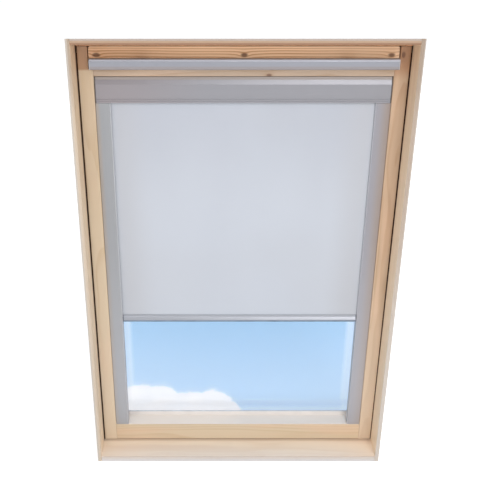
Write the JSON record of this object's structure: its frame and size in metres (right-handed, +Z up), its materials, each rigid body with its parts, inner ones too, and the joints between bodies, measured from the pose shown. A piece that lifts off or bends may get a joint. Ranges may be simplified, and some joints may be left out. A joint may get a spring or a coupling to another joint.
{
  "type": "roof window with roller blind",
  "caption": "Pine centre-pivot roof window with insulating glass, a ventilation flap worked by a control bar, and a cassette roller blind that runs in two side channels.",
  "frame": {"origin": "middle of the underside of the frame's sill, at half the frame's depth", "axes": "+X across the window to the right as seen from the room, +Y out through the glass to the outside, +Z up the window"},
  "size_m": [0.7836, 0.168, 1.18],
  "materials": {
    "pine": "clear satin lacquer",
    "flap_pine": "clear satin lacquer, knotty",
    "blind_aluminium": "satin anodised",
    "bar_aluminium": "satin anodised",
    "spacer_aluminium": "mill",
    "cover_metal": "matt grey lacquer",
    "hinge_steel": "zinc plated",
    "window_glass": "clear",
    "seal_rubber": "matt",
    "pale_gasket": "matt",
    "grey_plastic": "fine texture",
    "dark_plastic": "fine texture",
    "filter_foam": "open foam",
    "blind_cloth": "plain coated weave"
  },
  "bodies": {
    "frame": {"frame_jamb_left": "pine", "frame_jamb_right": "pine", "frame_head": "pine", "frame_sill": "pine", "jamb_seal_left": "seal_rubber", "jamb_seal_right": "seal_rubber", "lock_strike_plate": "hinge_steel", "pivot_frame_plate_left": "hinge_steel", "pivot_frame_plate_right": "hinge_steel", "pivot_pin_left": "hinge_steel", "pivot_pin_right": "hinge_steel", "frame_side_cover_left": "cover_metal", "frame_side_cover_right": "cover_metal", "frame_hood": "cover_metal", "frame_sill_cover": "cover_metal"},
    "sash": {"sash_stile_left": "pine", "sash_stile_right": "pine", "sash_bottom_rail": "pine", "sash_top_rail": "pine", "pivot_sash_plate_left": "hinge_steel", "pivot_sash_plate_right": "hinge_steel", "glass_inner_pane": "window_glass", "glass_outer_pane": "window_glass", "glass_spacer": "spacer_aluminium", "glazing_bead": "pale_gasket", "lock_case": "hinge_steel", "air_filter": "filter_foam", "flap_pin_left": "hinge_steel", "flap_pin_right": "hinge_steel", "glazing_cover_left": "cover_metal", "glazing_cover_right": "cover_metal", "glazing_cover_top": "cover_metal", "glazing_cover_bottom": "cover_metal", "sash_side_cover_left": "cover_metal", "sash_side_cover_right": "cover_metal", "sash_apron": "cover_metal", "blind_cassette": "blind_aluminium", "blind_cassette_end_left": "grey_plastic", "blind_cassette_end_right": "grey_plastic", "roller_pin_left": "hinge_steel", "roller_pin_right": "hinge_steel", "side_channel_left": "blind_aluminium", "side_channel_right": "blind_aluminium", "channel_brush_left": "dark_plastic", "channel_brush_right": "dark_plastic"},
    "vent_flap": {"ventilation_flap": "flap_pine", "control_bar": "bar_aluminium", "control_bar_cap_left": "grey_plastic", "control_bar_cap_right": "grey_plastic", "control_bar_bracket_left": "hinge_steel", "control_bar_bracket_right": "hinge_steel"},
    "roller": {"roller_tube": "hinge_steel", "blind_cloth_roll": "blind_cloth", "roller_plug_left": "dark_plastic", "roller_plug_right": "dark_plastic"},
    "bottom_bar": {"blind_bottom_bar": "blind_aluminium", "bottom_bar_guide_left": "dark_plastic", "bottom_bar_guide_right": "dark_plastic"},
    "cloth_upper": {"blind_cloth_upper": "blind_cloth"},
    "cloth_lower": {"blind_cloth_lower": "blind_cloth"}
  },
  "joints": [
    {"name": "sash_pivot", "type": "hinge", "parent": "frame", "child": "sash", "pos_m": [0, 0.036, 0.59], "axis": [1, 0, 0], "range_deg": [0, 135]},
    {"name": "flap_hinge", "type": "hinge", "parent": "sash", "child": "vent_flap", "pos_m": [0, 0.015, 1.0995], "axis": [1, 0, 0], "range_deg": [0, 30]},
    {"name": "blind_slide", "type": "slide", "parent": "sash", "child": "bottom_bar", "axis": [0, 0, 1], "range_m": [-0.3375, 0.581]},
    {"name": "roller_spin", "type": "hinge", "parent": "sash", "child": "roller", "pos_m": [0, 0.0223, 1.04195], "axis": [1, 0, 0], "range_deg": [-2670, 1550]},
    {"name": "cloth_upper_slide", "type": "slide", "parent": "sash", "child": "cloth_upper", "axis": [0, 0, 1], "range_m": [-0.169, 0.291], "deforming": ["blind_cloth_upper"]},
    {"name": "cloth_lower_slide", "type": "slide", "parent": "bottom_bar", "child": "cloth_lower", "axis": [0, 0, 1], "range_m": [-0.291, 0.169], "deforming": ["blind_cloth_lower"]}
  ],
  "couplings": [
    {"joint": "roller_spin", "follows": "blind_slide", "rad_per_m": -80},
    {"joint": "cloth_upper_slide", "follows": "blind_slide", "ratio": 0.5},
    {"joint": "cloth_lower_slide", "follows": "blind_slide", "ratio": -0.5}
  ]
}
